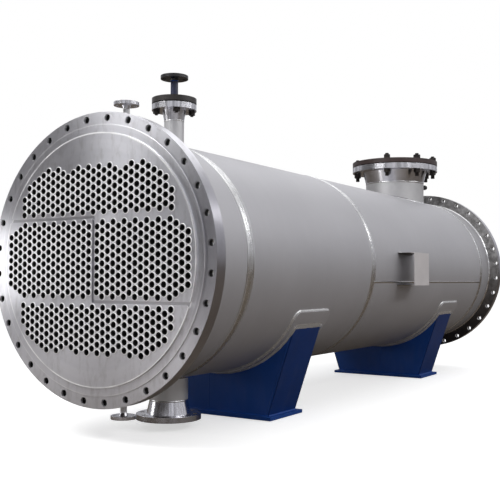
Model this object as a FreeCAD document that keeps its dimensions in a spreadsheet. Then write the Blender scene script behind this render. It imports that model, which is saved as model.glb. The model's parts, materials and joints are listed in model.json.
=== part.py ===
"""Shell and tube heat exchanger with two fixed tubesheets, standing on two saddles.

The shell axis runs along X, +Z is up and the origin lies on the floor under the middle of the shell.
The front tubesheet faces -X.  Every driving size is a cell of the sheet "Sizes".  A formula names those
cells by their aliases, and each object is bound to its formulas as expressions.
"""
import FreeCAD, Part
import math
import os
import re
import Sketcher
from FreeCAD import Placement, Rotation, Vector

# ---------------------------------------------------------------- driving sizes, in mm and degrees
GENERAL_SIZES = {
    # shell: its plate, its courses from front to rear and how high it stands
    "shell_od": 1016, "shell_wall": 10, "shell_length": 3595, "shell_clearance": 212,
    "front_ring_length": 288, "first_course_length": 1197, "rear_ring_length": 199,
    "weld_width": 14, "weld_proud": 2.5,
    # tubesheets: offsets and insets are radial, from the shell's outer face
    "sheet_thick": 55, "rim_offset": 75, "bolt_offset": 51, "sheet_hole": 28, "sheet_holes": 32,
    "band_offset": 26, "band_rise": 4, "field_inset": 7, "field_rise": 8,
    "lane_width": 12, "lane_gap": 43.5, "lane_corner": 9,
    # tubes: the lane gap above is the distance between the tube centres on either side of a lane
    "tube_od": 25, "tube_wall": 2, "tube_pitch": 32, "tube_clearance": 0.2, "tube_proud": 3,
    "bundle_clearance": 8,
    # saddles: insets are from the nearest tubesheet, and the angle is the one that the plates embrace
    "front_saddle_inset": 910, "rear_saddle_inset": 760, "saddle_width": 250, "saddle_plate": 12,
    "saddle_angle": 112, "saddle_cope": 62, "foot_half_span": 290, "base_margin": 26, "base_thick": 16,
    "pad_margin": 40, "pad_overhang_angle": 8.5, "pad_thick": 10, "pad_corner": 35, "seat_gap": 0.3,
    # nameplate bracket: its place is from the second girth weld
    "bracket_after_weld": 345, "bracket_length": 225, "bracket_top": 78, "bracket_bottom": 105,
    "bracket_standoff": 92, "bracket_plate": 4,
    # joints of the nozzles
    "pipe_clearance": 0.25, "gasket_thick": 3, "service_cover_thick": 24, "inlet_cover_thick": 31,
    "inlet_boss_od": 34, "inlet_boss_length": 26, "inlet_boss_height": 85, "inlet_boss_angle": -50,
}

# Each nozzle's pipe, flange and bolting.  The offsets are radial, from the pipe's outer face, to the flange's
# thick hub, raised face, bolt circle and rim.  "inset" is the distance from the nearest tubesheet, and
# "reach" that of the sealing face from the shell, or for the stub from the cover that it stands on.
NOZZLE_SIZES = {
    "vent": {"pipe_od": 26.9, "pipe_wall": 2.6, "hub_offset": 5.55, "face_offset": 15.55,
             "bolt_offset": 24.05, "rim_offset": 39.05, "thick": 16, "hole": 14, "holes": 4,
             "hub_length": 28, "face_rise": 2, "inset": 120, "reach": 149},
    "drain": {"pipe_od": 26.9, "pipe_wall": 2.6, "hub_offset": 5.55, "face_offset": 15.55,
              "bolt_offset": 24.05, "rim_offset": 39.05, "thick": 16, "hole": 14, "holes": 4,
              "hub_length": 28, "face_rise": 2, "inset": 120, "reach": 140},
    "service": {"pipe_od": 88.9, "pipe_wall": 5.5, "hub_offset": 8.55, "face_offset": 24.55,
                "bolt_offset": 35.55, "rim_offset": 55.55, "thick": 27, "hole": 18, "holes": 4,
                "hub_length": 74, "face_rise": 2, "inset": 441, "reach": 196},
    "outlet": {"pipe_od": 168.3, "pipe_wall": 7.1, "hub_offset": 12.85, "face_offset": 21.85,
               "bolt_offset": 35.85, "rim_offset": 58.35, "thick": 26, "hole": 22, "holes": 8,
               "hub_length": 84, "face_rise": 2, "inset": 417, "reach": 180},
    "inlet": {"pipe_od": 406.4, "pipe_wall": 9.5, "hub_offset": 19.8, "face_offset": 31.8,
              "bolt_offset": 66.8, "rim_offset": 95.3, "thick": 38, "hole": 29, "holes": 16,
              "hub_length": 119, "face_rise": 2, "inset": 578, "reach": 223},
    "stub": {"pipe_od": 33.7, "pipe_wall": 3.4, "hub_offset": 4.15, "face_offset": 17.15,
             "bolt_offset": 27.65, "rim_offset": 45.15, "thick": 16, "hole": 19, "holes": 4,
             "hub_length": 24, "face_rise": 2, "inset": 441, "reach": 106},
}

# Tubes in each column of an upper or lower pass, from the middle column outwards to either side.
OUTER_PASS_COLUMNS = [6, 6, 6, 6, 6, 5, 6, 6, 6, 6, 6, 5, 5, 4, 3]
# Tubes in each column of a side pass, from the centre lane outwards.
SIDE_PASS_COLUMNS = [9, 10, 9, 10, 9, 10, 9, 10, 9, 10, 9, 10, 9, 10, 9, 8, 7]

# Tubes in the longest column of a side pass, which set the height of the lanes.
SIDE_ROWS = max(SIDE_PASS_COLUMNS)

# ---------------------------------------------------------------- formulas shared by several pieces
SHELL_R = "(shell_od / 2)"
INNER_R = "(shell_od / 2 - shell_wall)"
AXIS_Z = "(shell_od / 2 + shell_clearance)"
HALF = "(shell_length / 2)"
PAD_R = "(shell_od / 2 + seat_gap + pad_thick)"
SEAT_R = "(shell_od / 2 + 2 * seat_gap + pad_thick)"
LANE_HEIGHT = "(%d * tube_pitch / 2 + lane_gap / 2)" % (SIDE_ROWS - 1)
FIRST_WELD = "(front_ring_length - shell_length / 2)"
SECOND_WELD = "(front_ring_length + first_course_length - shell_length / 2)"
THIRD_WELD = "(shell_length / 2 - rear_ring_length)"

# Sketcher's numbers for its origin and for the points of an edge
SKETCH_ORIGIN = (-1, 1)
EDGE_START, EDGE_END, EDGE_CENTRE = 1, 2, 3

X_AXIS, Y_AXIS, Z_AXIS = Vector(1, 0, 0), Vector(0, 1, 0), Vector(0, 0, 1)
ALONG_X = Rotation(Y_AXIS, 90)
UPSIDE_DOWN = Rotation(X_AXIS, 180)

SIZES = dict(GENERAL_SIZES)
for nozzle_name, nozzle_sizes in NOZZLE_SIZES.items():
    SIZES.update({nozzle_name + "_" + key: value for key, value in nozzle_sizes.items()})

doc = FreeCAD.newDocument("heat_exchanger")
sheet = doc.addObject("Spreadsheet::Sheet", "Sizes")
sub_parts = []


# ---------------------------------------------------------------- the sheet and its expressions
def fill_sheet():
    for row, (alias, value) in enumerate(SIZES.items(), start=1):
        sheet.set("A%d" % row, alias)
        sheet.set("B%d" % row, str(value))
        sheet.setAlias("B%d" % row, alias)
    doc.recompute()


def size(alias):
    """The number in the sheet's cell of that alias."""
    return float(sheet.get(alias))


def expression(formula):
    """The formula with each alias written the way an expression finds it."""
    def cell(word):
        return "Sizes." + word[0] if word[0] in SIZES else word[0]
    return re.sub(r"[a-z_0-9]*[a-z_][a-z_0-9]*", cell, formula)


def bind(item, **formulas):
    """Bind properties of an object to formulas; x, y and z stand for its place."""
    for name, formula in formulas.items():
        place = {"x": "Placement.Base.x", "y": "Placement.Base.y", "z": "Placement.Base.z"}
        item.setExpression(place.get(name, name), expression(formula))
    return item


def finished(item, label):
    """Register an object as a sub-part under its own label."""
    item.Label = label
    sub_parts.append(item)
    return item


# ---------------------------------------------------------------- primitives and booleans
def cylinder(name, radius, height, x="0", y="0", z="0", turn=Rotation()):
    item = doc.addObject("Part::Cylinder", name)
    item.Placement = Placement(Vector(), turn)
    return bind(item, Radius=radius, Height=height, x=x, y=y, z=z)


def box(name, length, width, height, x, y, z):
    item = doc.addObject("Part::Box", name)
    return bind(item, Length=length, Width=width, Height=height, x=x, y=y, z=z)


def fuse(name, shapes):
    item = doc.addObject("Part::MultiFuse", name)
    item.Shapes = shapes
    return item


def cut(name, base, tools):
    item = doc.addObject("Part::Cut", name)
    item.Base = base
    item.Tool = tools[0] if len(tools) == 1 else fuse(name + "_tools", tools)
    return item


def round_corners(name, base, radius, longest):
    """Round the straight edges of a plate that are no longer than that, leaving out a round face's seam."""
    item = doc.addObject("Part::Fillet", name)
    item.Base = base
    doc.recompute()
    item.Edges = [
        (number, radius, radius) for number, edge in enumerate(base.Shape.Edges, start=1)
        if isinstance(edge.Curve, Part.Line) and edge.Length < longest
        and len(base.Shape.ancestorsOfType(edge, Part.Face)) == 2]
    return item


# ---------------------------------------------------------------- sketches and bodies
def new_body(label):
    return finished(doc.addObject("PartDesign::Body", label), label)


def new_sketch(body, plane, name):
    sketch = body.newObject("Sketcher::SketchObject", name)
    origin_plane = [item for item in body.Origin.OriginFeatures if item.Role == plane][0]
    sketch.AttachmentSupport = (origin_plane, [""])
    sketch.MapMode = "FlatFace"
    return sketch


def evaluate(formula):
    """A formula's value as a number."""
    return float(sheet.evalExpression(expression(formula)))


def constrain(sketch, formula, kind, *places):
    """Add a constraint of that kind to a sketch and bind its value to a formula."""
    index = sketch.addConstraint(Sketcher.Constraint(kind, *places, evaluate(formula)))
    sketch.setExpression("Constraints[%d]" % index, expression(formula))


def place_point(sketch, edge, point, across, up):
    """Fix one of an edge's points at two formulas from the sketch's origin."""
    constrain(sketch, across, "DistanceX", *SKETCH_ORIGIN, edge, point)
    constrain(sketch, up, "DistanceY", *SKETCH_ORIGIN, edge, point)


def add_polygon(sketch, corners):
    """A closed outline through corners given as pairs of formulas."""
    points = [Vector(evaluate(across), evaluate(up), 0) for across, up in corners]
    edges = range(len(corners))
    for edge in edges:
        sketch.addGeometry(Part.LineSegment(points[edge - 1], points[edge]), False)
    for edge in edges:
        following = (edge + 1) % len(corners)
        sketch.addConstraint(Sketcher.Constraint("Coincident", edge, EDGE_END, following, EDGE_START))
    for edge, (across, up) in enumerate(corners):
        place_point(sketch, edge, EDGE_END, across, up)


def add_circle(sketch, radius, across="0", up="0"):
    centre = Vector(evaluate(across), evaluate(up), 0)
    edge = sketch.addGeometry(Part.Circle(centre, Z_AXIS, evaluate(radius)), False)
    constrain(sketch, radius, "Radius", edge)
    place_point(sketch, edge, EDGE_CENTRE, across, up)


# ---------------------------------------------------------------- shell
def shell_course(label, start, end, nozzles=()):
    """A rolled course between two distances from the shell's middle, holed for its nozzles."""
    length = "%s - (%s)" % (end, start)
    outer = cylinder(label + "_plate", SHELL_R, length, start, "0", AXIS_Z, ALONG_X)
    tools = [cylinder(label + "_inside", INNER_R, length, start, "0", AXIS_Z, ALONG_X)]
    for nozzle, turn in nozzles:
        tools.append(cylinder(
            nozzle + "_opening", nozzle + "_pipe_od / 2 + pipe_clearance", "shell_od",
            nozzle_x(nozzle), "0", AXIS_Z, turn))
    finished(cut(label, outer, tools), label)


def girth_weld(label, middle):
    start = middle + " - weld_width / 2"
    bead = cylinder(label + "_bead", SHELL_R + " + weld_proud", "weld_width", start, "0", AXIS_Z, ALONG_X)
    inside = cylinder(label + "_inside", INNER_R, "weld_width", start, "0", AXIS_Z, ALONG_X)
    finished(cut(label, bead, [inside]), label)


def make_shell():
    before, after = " - weld_width / 2", " + weld_width / 2"
    shell_course("front_shell_ring", "-" + HALF, FIRST_WELD + before,
                 [("vent", Rotation()), ("drain", UPSIDE_DOWN)])
    shell_course("first_shell_course", FIRST_WELD + after, SECOND_WELD + before,
                 [("service", Rotation()), ("outlet", UPSIDE_DOWN)])
    shell_course("second_shell_course", SECOND_WELD + after, THIRD_WELD + before, [("inlet", Rotation())])
    shell_course("rear_shell_ring", THIRD_WELD + after, HALF)
    girth_weld("first_girth_weld", FIRST_WELD)
    girth_weld("second_girth_weld", SECOND_WELD)
    girth_weld("third_girth_weld", THIRD_WELD)


# ---------------------------------------------------------------- tubes and tubesheets
def tube_places():
    """Tube centres (y, z) from the shell axis, by pass, on a triangular pitch in vertical columns."""
    pitch = size("tube_pitch")
    column = pitch * math.sqrt(3) / 2
    from_lane = size("lane_gap") / 2
    lane_height = evaluate(LANE_HEIGHT)
    limit = size("shell_od") / 2 - size("shell_wall") - size("bundle_clearance") - size("tube_od") / 2
    places = {"upper": [], "lower": [], "left": [], "right": []}

    def add(name, y, z):
        if math.hypot(y, z) <= limit:
            places[name].append((y, z))

    for index, count in enumerate(OUTER_PASS_COLUMNS):
        for y in sorted({-index * column, index * column}):
            for row in range(count):
                z = lane_height + from_lane + (row + index % 2 / 2) * pitch
                add("upper", y, z)
                add("lower", y, -z)
    for index, count in enumerate(SIDE_PASS_COLUMNS):
        y = from_lane + index * column
        for row in range(count):
            z = (row - (count - 1) / 2) * pitch
            add("left", y, z)
            add("right", -y, z)
    return places


def rods(radius, start, end, places):
    """Solid rods along X on those places, as one compound."""
    axis_z = evaluate(AXIS_Z)
    return Part.makeCompound([
        Part.makeCylinder(radius, end - start, Vector(start, y, axis_z + z), X_AXIS) for y, z in places])


def make_tubes(places):
    reach = size("shell_length") / 2 + size("sheet_thick") + size("band_rise") + size("field_rise")
    end = reach + size("tube_proud")
    radius = size("tube_od") / 2
    for name, centres in places.items():
        outer = rods(radius, -end, end, centres)
        inner = rods(radius - size("tube_wall"), -end, end, centres)
        tubes = [rod.cut(bore) for rod, bore in zip(outer.Solids, inner.Solids)]
        item = doc.addObject("Part::Feature", name + "_pass_tubes")
        item.Shape = Part.makeCompound(tubes)
        item.Placement = Placement()
        finished(item, name + "_pass_tubes")


def disc(name, radius, thick, side, distance):
    """A disc on the shell axis, its inner face at a distance beyond the shell's end."""
    near = "%s + %s" % (HALF, distance)
    start = near if side > 0 else "-(%s + %s)" % (near, thick)
    return cylinder(name, radius, thick, start, "0", AXIS_Z, ALONG_X)


def lane(name, side, across, length, up, height):
    """A slot in the tube field for a rib of the head, from y across and z up."""
    near = "%s + sheet_thick + band_rise" % HALF
    start = near if side > 0 else "-(%s + field_rise)" % near
    return box(name, "field_rise", length, height, start, across, AXIS_Z + " + " + up)


def tubesheet(label, side, lanes, places):
    field_r = SHELL_R + " - field_inset"
    rim = disc(label + "_rim", SHELL_R + " + rim_offset", "sheet_thick", side, "0")
    band = disc(label + "_band", SHELL_R + " + band_offset", "band_rise", side, "sheet_thick")
    field = disc(label + "_field", field_r, "field_rise", side, "sheet_thick + band_rise")
    cutters = [lane(label + "_" + key, side, *numbers) for key, numbers in lanes.items()]
    parted = cut(label + "_parted", field, cutters)
    islands = round_corners(label + "_islands", parted, size("lane_corner"), 1.5 * size("field_rise"))
    solid = fuse(label + "_solid", [rim, band, islands])
    every_tube = [place for centres in places.values() for place in centres]
    bolts = drills(label + "_bolt_holes", side, size("sheet_hole") / 2, bolt_places())
    bores = drills(label + "_bores", side, size("tube_od") / 2 + size("tube_clearance"), every_tube)
    finished(cut(label, cut(label + "_drilled", solid, [bolts]), [bores]), label)


def drills(name, side, radius, places):
    """Rods through a tubesheet's whole thickness, to be cut from it."""
    near = side * size("shell_length") / 2
    far = near + side * (size("sheet_thick") + size("band_rise") + size("field_rise"))
    item = doc.addObject("Part::Feature", name)
    item.Shape = rods(radius, *sorted((near, far)), places)
    item.Placement = Placement()
    return item


def bolt_places():
    """Bolt holes of a tubesheet, straddling its centrelines."""
    count = int(size("sheet_holes"))
    radius = size("shell_od") / 2 + size("bolt_offset")
    turns = [2 * math.pi * (number + 0.5) / count for number in range(count)]
    return [(radius * math.cos(turn), radius * math.sin(turn)) for turn in turns]


def make_tubesheets(places):
    upper = (LANE_HEIGHT + " - lane_width / 2", "lane_width")
    lower = ("-%s - lane_width / 2" % LANE_HEIGHT, "lane_width")
    half_lane = SHELL_R + " + lane_width / 2"
    tubesheet("front_tubesheet", -1, {
        "upper_lane": ("-lane_width / 2", half_lane) + upper,
        "centre_lane": ("-lane_width / 2", "lane_width", lower[0], "2 * %s + lane_width" % LANE_HEIGHT),
        "lower_lane": ("-" + SHELL_R, half_lane) + lower,
    }, places)
    tubesheet("rear_tubesheet", 1, {
        "upper_lane": ("-" + SHELL_R, "shell_od") + upper,
        "lower_lane": ("-" + SHELL_R, "shell_od") + lower,
    }, places)


# ---------------------------------------------------------------- nozzles
def nozzle_x(nozzle):
    """The inlet is placed from the rear tubesheet and the other nozzles from the front one."""
    return "(%s - inlet_inset)" % HALF if nozzle == "inlet" else "(%s_inset - %s)" % (nozzle, HALF)


def neck(nozzle, turn):
    """The pipe from the shell's inner face to the flange's weld end."""
    height = "%s + %s_reach - %s_hub_length" % (SHELL_R, nozzle, nozzle)
    label = nozzle + "_neck"
    pipe = cylinder(label + "_pipe", nozzle + "_pipe_od / 2", height, nozzle_x(nozzle), "0", AXIS_Z, turn)
    bore = cylinder(label + "_bore", "%s_pipe_od / 2 - %s_pipe_wall" % (nozzle, nozzle), height,
                    nozzle_x(nozzle), "0", AXIS_Z, turn)
    inside = cylinder(label + "_inside", INNER_R, "2 * %s_pipe_od" % nozzle,
                      "%s - %s_pipe_od" % (nozzle_x(nozzle), nozzle), "0", AXIS_Z, ALONG_X)
    finished(cut(label, pipe, [bore, inside]), label)


def drill_bolt_holes(body, nozzle):
    """Drill the pattern of a nozzle's bolt holes, straddling its centrelines, through a body."""
    holes = new_sketch(body, "XY_Plane", body.Label + "_hole_sketch")
    circle = "(%s_pipe_od / 2 + %s_bolt_offset)" % (nozzle, nozzle)
    across, up = ["%s * %s(180 / %s_holes)" % (circle, ratio, nozzle) for ratio in ("cos", "sin")]
    add_circle(holes, nozzle + "_hole / 2", across, up)
    doc.recompute()
    hole = body.newObject("PartDesign::Pocket", body.Label + "_hole")
    hole.Profile = holes
    hole.Type = "ThroughAll"
    hole.Midplane = True
    pattern = body.newObject("PartDesign::PolarPattern", body.Label + "_holes")
    pattern.Originals = [hole]
    pattern.Axis = (holes, ["N_Axis"])
    pattern.Angle = 360
    bind(pattern, Occurrences=nozzle + "_holes")
    body.Tip = pattern
    holes.Visibility = False


def revolved(body, corners):
    profile = new_sketch(body, "XZ_Plane", body.Label + "_profile")
    add_polygon(profile, corners)
    doc.recompute()
    turned = body.newObject("PartDesign::Revolution", body.Label + "_turned")
    turned.Profile = profile
    turned.ReferenceAxis = (profile, ["V_Axis"])
    turned.Angle = 360


def flange(nozzle, z, turn=Rotation()):
    """A welding-neck flange: its sealing face is its own z = 0 and its hub points down."""
    body = new_body(nozzle + "_flange")
    profile = [
        ("N_pipe_od / 2 - N_pipe_wall", "0"), ("N_pipe_od / 2 + N_face_offset", "0"),
        ("N_pipe_od / 2 + N_face_offset", "-N_face_rise"), ("N_pipe_od / 2 + N_rim_offset", "-N_face_rise"),
        ("N_pipe_od / 2 + N_rim_offset", "-N_thick"), ("N_pipe_od / 2 + N_hub_offset", "-N_thick"),
        ("N_pipe_od / 2", "-N_hub_length"), ("N_pipe_od / 2 - N_pipe_wall", "-N_hub_length")]
    revolved(body, [(across.replace("N", nozzle), up.replace("N", nozzle)) for across, up in profile])
    drill_bolt_holes(body, nozzle)
    body.Placement = Placement(Vector(), turn)
    bind(body, x=nozzle_x(nozzle), z=z)


def gasket(nozzle, z):
    """A flat ring inside the bolts."""
    label = nozzle + "_gasket"
    face = "%s_pipe_od / 2 + %s_face_offset" % (nozzle, nozzle)
    outer = cylinder(label + "_ring", face, "gasket_thick", nozzle_x(nozzle), "0", z)
    inner = cylinder(label + "_hole", "%s_pipe_od / 2" % nozzle, "gasket_thick", nozzle_x(nozzle), "0", z)
    finished(cut(label, outer, [inner]), label)


def cover(nozzle, z, bore):
    """A blind flange bolted over a nozzle, with a bore in the middle where a stub stands on it."""
    body = new_body(nozzle + "_cover")
    outline = new_sketch(body, "XY_Plane", nozzle + "_cover_outline")
    add_circle(outline, "%s_pipe_od / 2 + %s_rim_offset" % (nozzle, nozzle))
    if bore:
        add_circle(outline, bore)
    doc.recompute()
    plate = body.newObject("PartDesign::Pad", nozzle + "_cover_plate")
    plate.Profile = outline
    bind(plate, Length=nozzle + "_cover_thick")
    drill_bolt_holes(body, nozzle)
    bind(body, x=nozzle_x(nozzle), z=z)


def stub_pipe(z):
    """The small pipe that stands on the service cover."""
    height = "stub_reach - stub_hub_length"
    pipe = cylinder("stub_tube", "stub_pipe_od / 2", height, nozzle_x("stub"), "0", z)
    bore = cylinder("stub_bore", "stub_pipe_od / 2 - stub_pipe_wall", height, nozzle_x("stub"), "0", z)
    finished(cut("stub_pipe", pipe, [bore]), "stub_pipe")


def inlet_boss():
    """A small round boss welded to the side of the inlet neck."""
    root = "inlet_pipe_od / 2 + seat_gap"
    turn = Rotation(Z_AXIS, size("inlet_boss_angle")) * ALONG_X
    item = cylinder("inlet_boss", "inlet_boss_od / 2", "inlet_boss_length",
                    "%s + (%s) * cos(inlet_boss_angle)" % (nozzle_x("inlet"), root),
                    "(%s) * sin(inlet_boss_angle)" % root,
                    "%s + %s + inlet_boss_height" % (AXIS_Z, SHELL_R), turn)
    finished(item, "inlet_boss")


def make_nozzles():
    for nozzle in ("vent", "service", "inlet"):
        neck(nozzle, Rotation())
        flange(nozzle, "%s + %s + %s_reach" % (AXIS_Z, SHELL_R, nozzle))
    for nozzle in ("drain", "outlet"):
        neck(nozzle, UPSIDE_DOWN)
        flange(nozzle, "%s - %s - %s_reach" % (AXIS_Z, SHELL_R, nozzle), UPSIDE_DOWN)
    for nozzle, bore in (("service", "stub_pipe_od / 2 - stub_pipe_wall"), ("inlet", None)):
        face = "%s + %s + %s_reach" % (AXIS_Z, SHELL_R, nozzle)
        gasket(nozzle, face)
        cover(nozzle, face + " + gasket_thick", bore)
    stub_root = "%s + %s + service_reach + gasket_thick + service_cover_thick" % (AXIS_Z, SHELL_R)
    stub_pipe(stub_root)
    flange("stub", stub_root + " + stub_reach")
    inlet_boss()


# ---------------------------------------------------------------- saddles
def saddle_x(saddle):
    """The middle of a saddle, placed from the tubesheet at its own end."""
    return "(%s - rear_saddle_inset)" % HALF if saddle == "rear" else "(front_saddle_inset - %s)" % HALF


def wear_pad(saddle):
    """A curved plate under the shell with rounded corners."""
    label = saddle + "_saddle_pad"
    start = saddle_x(saddle) + " - saddle_width / 2 - pad_margin"
    width = "saddle_width + 2 * pad_margin"
    angle = "(saddle_angle + 2 * pad_overhang_angle)"
    outer = cylinder(label + "_outer", PAD_R, width, start, "0", AXIS_Z)
    bind(outer, Angle=angle)
    inner = cylinder(label + "_inner", SHELL_R + " + seat_gap", width, start, "0", AXIS_Z, ALONG_X)
    # The sector starts at its own x axis, which this turn lays along the pad's right-hand edge.
    outer.Placement.Rotation = Rotation(X_AXIS, -evaluate(angle) / 2) * ALONG_X
    plate = cut(label + "_plate", outer, [inner])
    finished(round_corners(label, plate, size("pad_corner"), 1.5 * size("pad_thick")), label)


def cradle(body, radius):
    """Cut a round seat about the shell axis out of a body."""
    seat = new_sketch(body, "YZ_Plane", body.Label + "_seat_sketch")
    add_circle(seat, radius, "0", AXIS_Z)
    doc.recompute()
    pocket = body.newObject("PartDesign::Pocket", body.Label + "_seat")
    pocket.Profile = seat
    pocket.Type = "ThroughAll"
    pocket.Midplane = True
    body.Tip = pocket


def plate_body(label, corners, length, x):
    """A plate of the saddle: an outline across the shell, as long as its length along the shell."""
    body = new_body(label)
    outline = new_sketch(body, "YZ_Plane", label + "_outline")
    add_polygon(outline, corners)
    doc.recompute()
    plate = body.newObject("PartDesign::Pad", label + "_plate")
    plate.Profile = outline
    bind(plate, Length=length)
    cradle(body, SEAT_R)
    bind(body, x=x)


def make_saddle(saddle):
    label = saddle + "_saddle_"
    wear_pad(saddle)
    top_y = "%s * sin(saddle_angle / 2)" % SEAT_R
    top_z = "%s - %s * cos(saddle_angle / 2)" % (AXIS_Z, SEAT_R)
    start = saddle_x(saddle) + " - saddle_width / 2"
    back = saddle_x(saddle) + " + saddle_width / 2 - saddle_plate"
    inner_foot, inner_top = "(foot_half_span - saddle_plate)", "(%s - saddle_plate)" % top_y
    # The cope is the tip left off each web below the end plates' top, so that the seat weld runs through.
    lean = "(%s - %s) / (%s - base_thick)" % (inner_top, inner_foot, top_z)
    web_top_y, web_top_z = "(%s - saddle_cope * %s)" % (inner_top, lean), top_z + " - saddle_cope"
    web = [("-" + inner_foot, "base_thick"), (inner_foot, "base_thick"),
           (web_top_y, web_top_z), ("-" + web_top_y, web_top_z)]
    plate_body(label + "front_web", web, "saddle_plate", start)
    plate_body(label + "back_web", web, "saddle_plate", back)
    for side, sign in (("left", ""), ("right", "-")):
        end_plate = [("%s(%s)" % (sign, y), z) for y, z in (
            (inner_foot, "base_thick"), ("foot_half_span", "base_thick"), (top_y, top_z), (inner_top, top_z))]
        plate_body(label + side + "_end", end_plate, "saddle_width", start)
    base = box(label + "base", "saddle_width + 2 * base_margin", "2 * (foot_half_span + base_margin)",
               "base_thick", start + " - base_margin", "-(foot_half_span + base_margin)", "0")
    finished(base, label + "base")


# ---------------------------------------------------------------- nameplate bracket
def make_bracket():
    """A channel on the shell's right-hand side: two ledges that carry a bare upright plate."""
    label = "nameplate_bracket"
    body = new_body(label)
    face = "-(%s + bracket_standoff)" % SHELL_R
    inner = face + " + bracket_plate"
    root = "-(%s - bracket_standoff)" % SHELL_R
    top, bottom = AXIS_Z + " + bracket_top", AXIS_Z + " - bracket_bottom"
    outline = new_sketch(body, "YZ_Plane", label + "_outline")
    add_polygon(outline, [
        (face, bottom), (root, bottom), (root, bottom + " + bracket_plate"),
        (inner, bottom + " + bracket_plate"), (inner, top + " - bracket_plate"),
        (root, top + " - bracket_plate"), (root, top), (face, top)])
    doc.recompute()
    channel = body.newObject("PartDesign::Pad", label + "_channel")
    channel.Profile = outline
    bind(channel, Length="bracket_length")
    cradle(body, SHELL_R + " + seat_gap")
    bind(body, x=SECOND_WELD + " + bracket_after_weld")


# ---------------------------------------------------------------- build, check and write
def check_document():
    """Stop before anything is written if an object failed or a sub-part has no valid solid."""
    failed = [item.Name for item in doc.Objects if {"Invalid", "Error"} & set(item.State)]
    for item in sub_parts:
        if item.Shape.isNull() or not item.Shape.isValid() or not item.Shape.Solids:
            failed.append(item.Label)
    if failed:
        raise RuntimeError("these objects failed: " + ", ".join(failed))


def write_parts():
    os.makedirs("parts", exist_ok=True)
    for item in sub_parts:
        item.Shape.exportStep("parts/%s.step" % item.Label)


fill_sheet()
make_shell()
all_places = tube_places()
make_tubes(all_places)
make_tubesheets(all_places)
make_nozzles()
make_saddle("front")
make_saddle("rear")
make_bracket()
doc.recompute()
check_document()
write_parts()
print("sub-parts:", len(sub_parts), "tubes:", sum(len(centres) for centres in all_places.values()))
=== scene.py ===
import json
import math
import bmesh
import bpy
from mathutils import Matrix, Vector, noise


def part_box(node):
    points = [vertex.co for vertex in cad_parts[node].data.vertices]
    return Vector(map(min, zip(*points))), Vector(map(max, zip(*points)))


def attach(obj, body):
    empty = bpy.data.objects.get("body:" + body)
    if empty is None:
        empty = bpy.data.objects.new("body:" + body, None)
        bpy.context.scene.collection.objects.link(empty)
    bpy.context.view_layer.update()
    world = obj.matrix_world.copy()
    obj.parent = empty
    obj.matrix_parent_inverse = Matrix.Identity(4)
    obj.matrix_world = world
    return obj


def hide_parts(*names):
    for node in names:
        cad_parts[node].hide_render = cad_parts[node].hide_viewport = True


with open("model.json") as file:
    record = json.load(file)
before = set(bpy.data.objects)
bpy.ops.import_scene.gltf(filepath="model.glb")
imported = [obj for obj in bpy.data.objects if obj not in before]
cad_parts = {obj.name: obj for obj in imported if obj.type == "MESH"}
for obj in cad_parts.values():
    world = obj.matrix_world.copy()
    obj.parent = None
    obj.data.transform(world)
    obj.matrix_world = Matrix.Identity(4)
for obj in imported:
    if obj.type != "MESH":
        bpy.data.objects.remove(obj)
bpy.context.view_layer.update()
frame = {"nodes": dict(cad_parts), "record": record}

# Looks of a shell and tube heat exchanger: the finish of every piece, its welds, tube ends and bolts.
# The shell axis runs along X and the front tubesheet faces -X.  Everything is in metres.

MM = 0.001
TURN = 2 * math.pi
X_AXIS, Y_AXIS, Z_AXIS = Vector((1, 0, 0)), Vector((0, 1, 0)), Vector((0, 0, 1))


# ---------------- places, read from the frame
def middle(node):
    low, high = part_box(node)
    return (low + high) / 2


def extent(node):
    low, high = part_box(node)
    return high - low


def mount(name):
    return [row for row in frame["record"]["mounts"] if row["name"] == name][0]


SHELL_AXIS = middle("first_shell_course")
SHELL_R = extent("first_shell_course").z / 2
FRONT_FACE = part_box("front_tubesheet")[0].x
REAR_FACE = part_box("rear_tubesheet")[1].x
NOZZLES = {"vent": 1, "service": 1, "inlet": 1, "drain": -1, "outlet": -1}
SADDLES = ("front_saddle_", "rear_saddle_")
TUBE_NODES = ("upper_pass_tubes", "lower_pass_tubes", "left_pass_tubes", "right_pass_tubes")
GIRTH_WELDS = ("first_girth_weld", "second_girth_weld", "third_girth_weld")

# Weld sizes, how deep a bead reaches into the plates that it joins, and its stations: how far apart they
# are, and how many go round the shell in a girth weld and in a tubesheet's fillet.
SUNK = 0.3 * MM
WELD_STEP = 2.5 * MM
GIRTH_STEPS, FILLET_STEPS = 1500, 1100
GIRTH_WIDTH, GIRTH_PROUD = 27 * MM, 3 * MM
SEAM_WIDTH, SEAM_PROUD = 12 * MM, 1.5 * MM
SHELL_WALL = 10 * MM
PAD_CORNER = 35 * MM
FLANGE_THICK = {"service": 27 * MM, "inlet": 38 * MM}

# Turns of the lengthwise seams, from the shell's lowest line towards +Y, and where each web is joined.
SEAM_TURNS = {"front_shell_ring": math.radians(82), "first_shell_course": math.radians(100),
              "second_shell_course": math.radians(-80.2), "rear_shell_ring": math.radians(96)}
WEB_SEAM_Y = {"front_saddle_": 45 * MM, "rear_saddle_": -19 * MM}

# How far the ground strips reach from the middle of a girth weld.
GROUND_STRIP = 29 * MM

# The tubesheets: their steps' and bolt circle's radii, a little over a bolt hole's radius, and how far
# their inner faces and the faces of their bolt rings lie from the exchanger's middle.
FIELD_R, BAND_R = 501 * MM, 534 * MM
BOLT_CIRCLE_R = mount("front_head_bolts")["dims"]["pcd_mm"] / 2 * MM
HOLE_REACH = 15 * MM
SHEET_BACK = -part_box("front_tubesheet")[1].x
RING_FACE = abs(mount("front_head_bolts")["pos_m"][0])

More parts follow.
